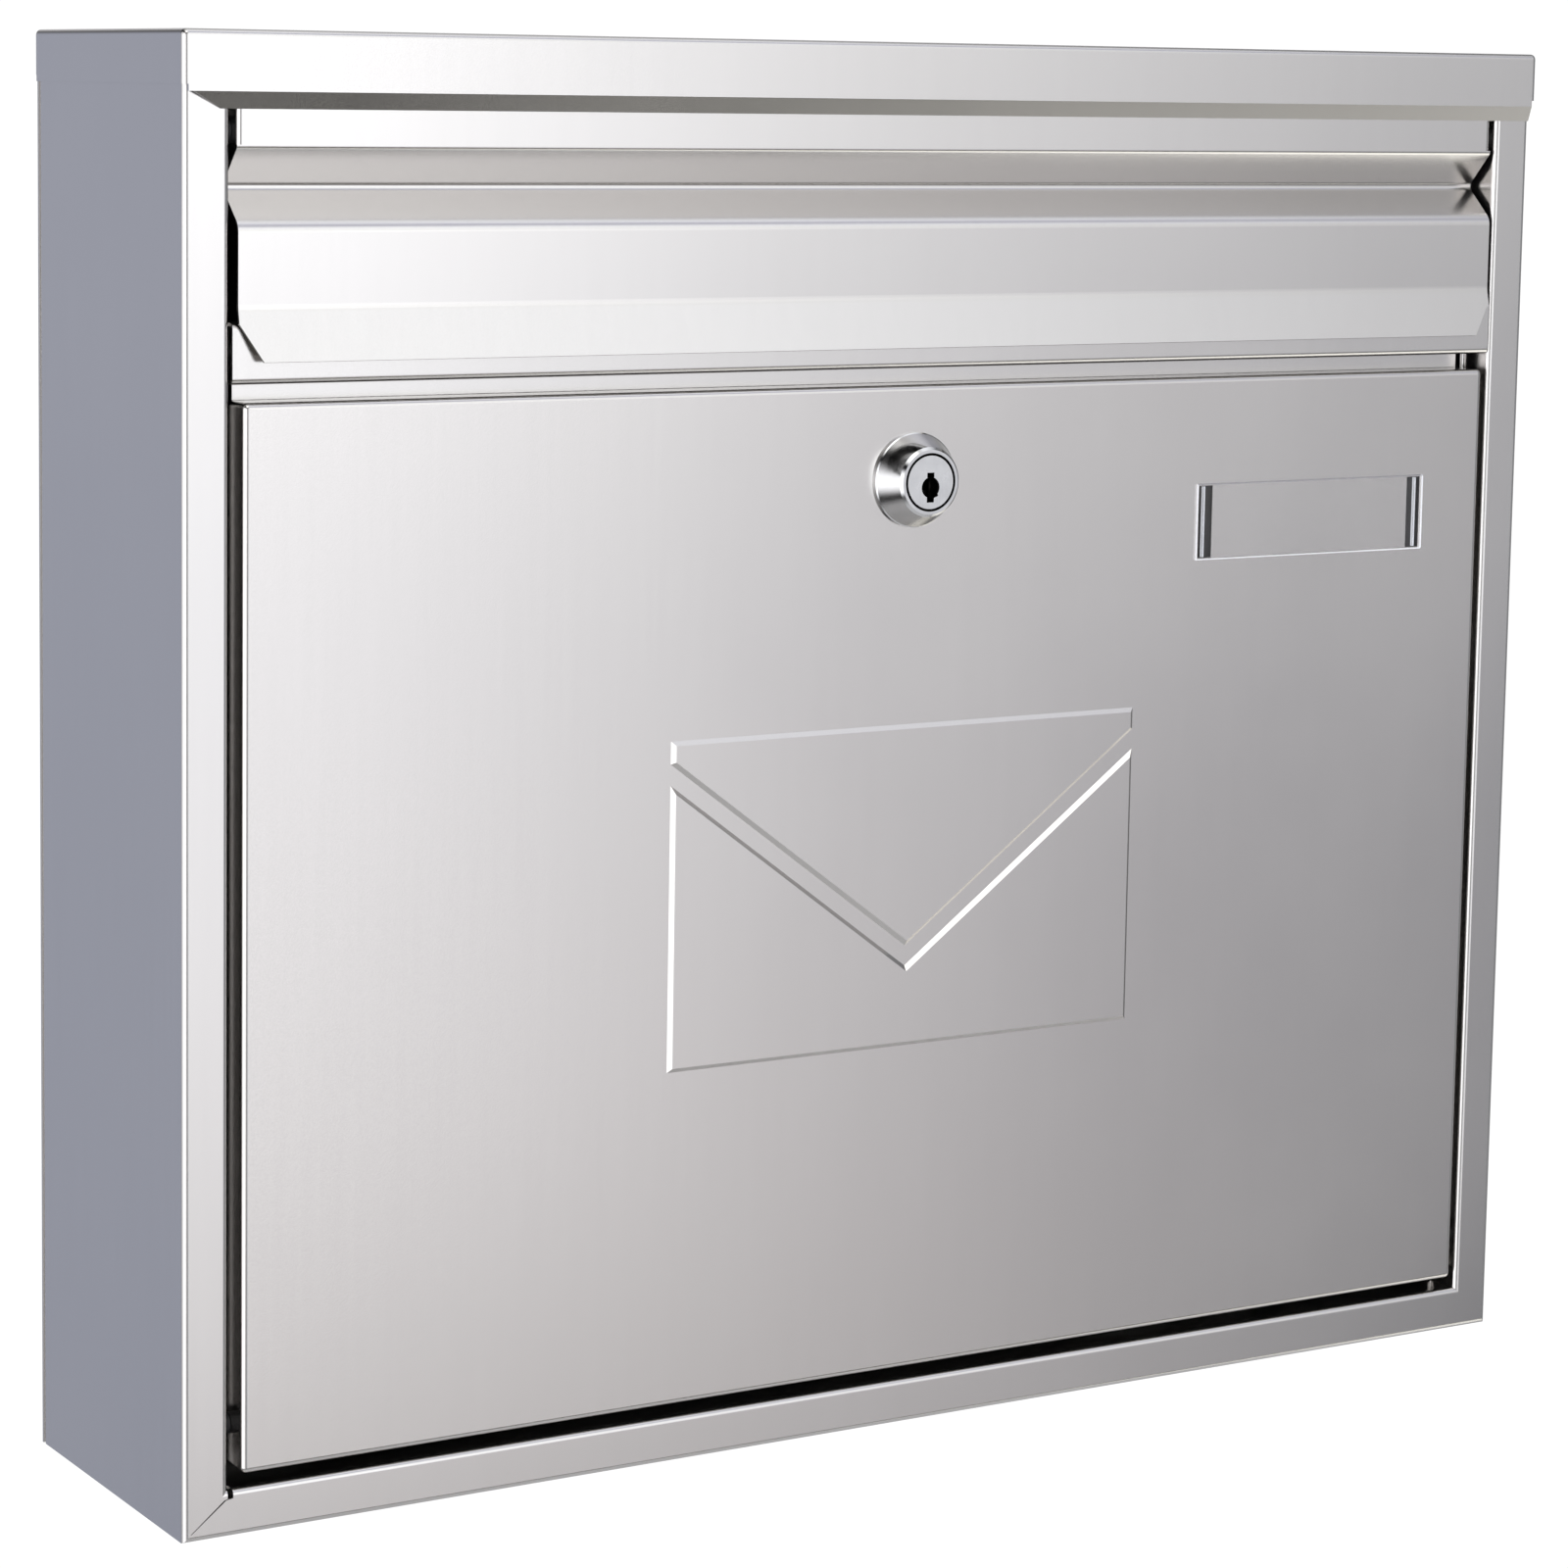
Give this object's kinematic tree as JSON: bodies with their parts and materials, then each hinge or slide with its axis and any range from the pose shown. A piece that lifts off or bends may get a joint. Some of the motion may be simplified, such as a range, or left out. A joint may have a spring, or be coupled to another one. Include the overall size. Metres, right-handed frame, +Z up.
{
  "type": "wall letter box",
  "caption": "Flat wall letter box in folded steel with a grooved mail flap, a bottom-hinged door, a cam lock, a name window and an embossed envelope.",
  "frame": {"origin": "middle of the rear face, where the box meets the wall, half way up the full height", "axes": "+Z up, +Y out of the rear face into the wall, so the front looks along -Y; +X to the right seen from the front"},
  "size_m": [0.3626, 0.0882, 0.322],
  "materials": {
    "body_steel": "satin, blasted grain",
    "rear_steel": "plain mill finish",
    "roof_steel": "satin, blasted grain",
    "rail_steel": "satin, blasted grain",
    "flap_steel": "satin, blasted grain",
    "door_steel": "satin, blasted grain",
    "pin_steel": "bright zinc plate",
    "lock_chrome": "polished",
    "plug_chrome": "fine machined",
    "wafer_brass": "plain",
    "nylon": "moulded",
    "clear_plastic": "clear moulded plastic"
  },
  "bodies": {
    "housing": {"housing_shell": "body_steel", "rear_panel": "rear_steel", "roof_cover": "roof_steel", "cross_rail": "rail_steel", "rail_rivets": "pin_steel", "flap_pin_left": "pin_steel", "flap_pin_right": "pin_steel", "flap_spacers": "nylon", "door_pin_left": "pin_steel", "door_pin_right": "pin_steel", "door_spacers": "nylon"},
    "flap": {"mail_flap": "flap_steel"},
    "door": {"door_panel": "door_steel", "name_window": "clear_plastic", "lock_housing": "lock_chrome", "lock_washer": "pin_steel", "lock_nut": "pin_steel"},
    "plug": {"lock_plug": "plug_chrome", "plug_wafers": "wafer_brass", "wafer_springs": "pin_steel", "lock_cam": "pin_steel", "cam_washer": "pin_steel", "cam_screw": "pin_steel"}
  },
  "joints": [
    {"name": "flap_hinge", "type": "hinge", "parent": "housing", "child": "flap", "pos_m": [0, -0.0745, 0.1402], "axis": [-1, 0, 0], "range_deg": [0, 70]},
    {"name": "door_hinge", "type": "hinge", "parent": "housing", "child": "door", "pos_m": [0, -0.0732, -0.1379], "axis": [1, 0, 0], "range_deg": [0, 110]},
    {"name": "lock_turn", "type": "hinge", "parent": "door", "child": "plug", "pos_m": [0, -0.08, 0.0618], "axis": [0, 1, 0], "range_deg": [0, 90]}
  ]
}
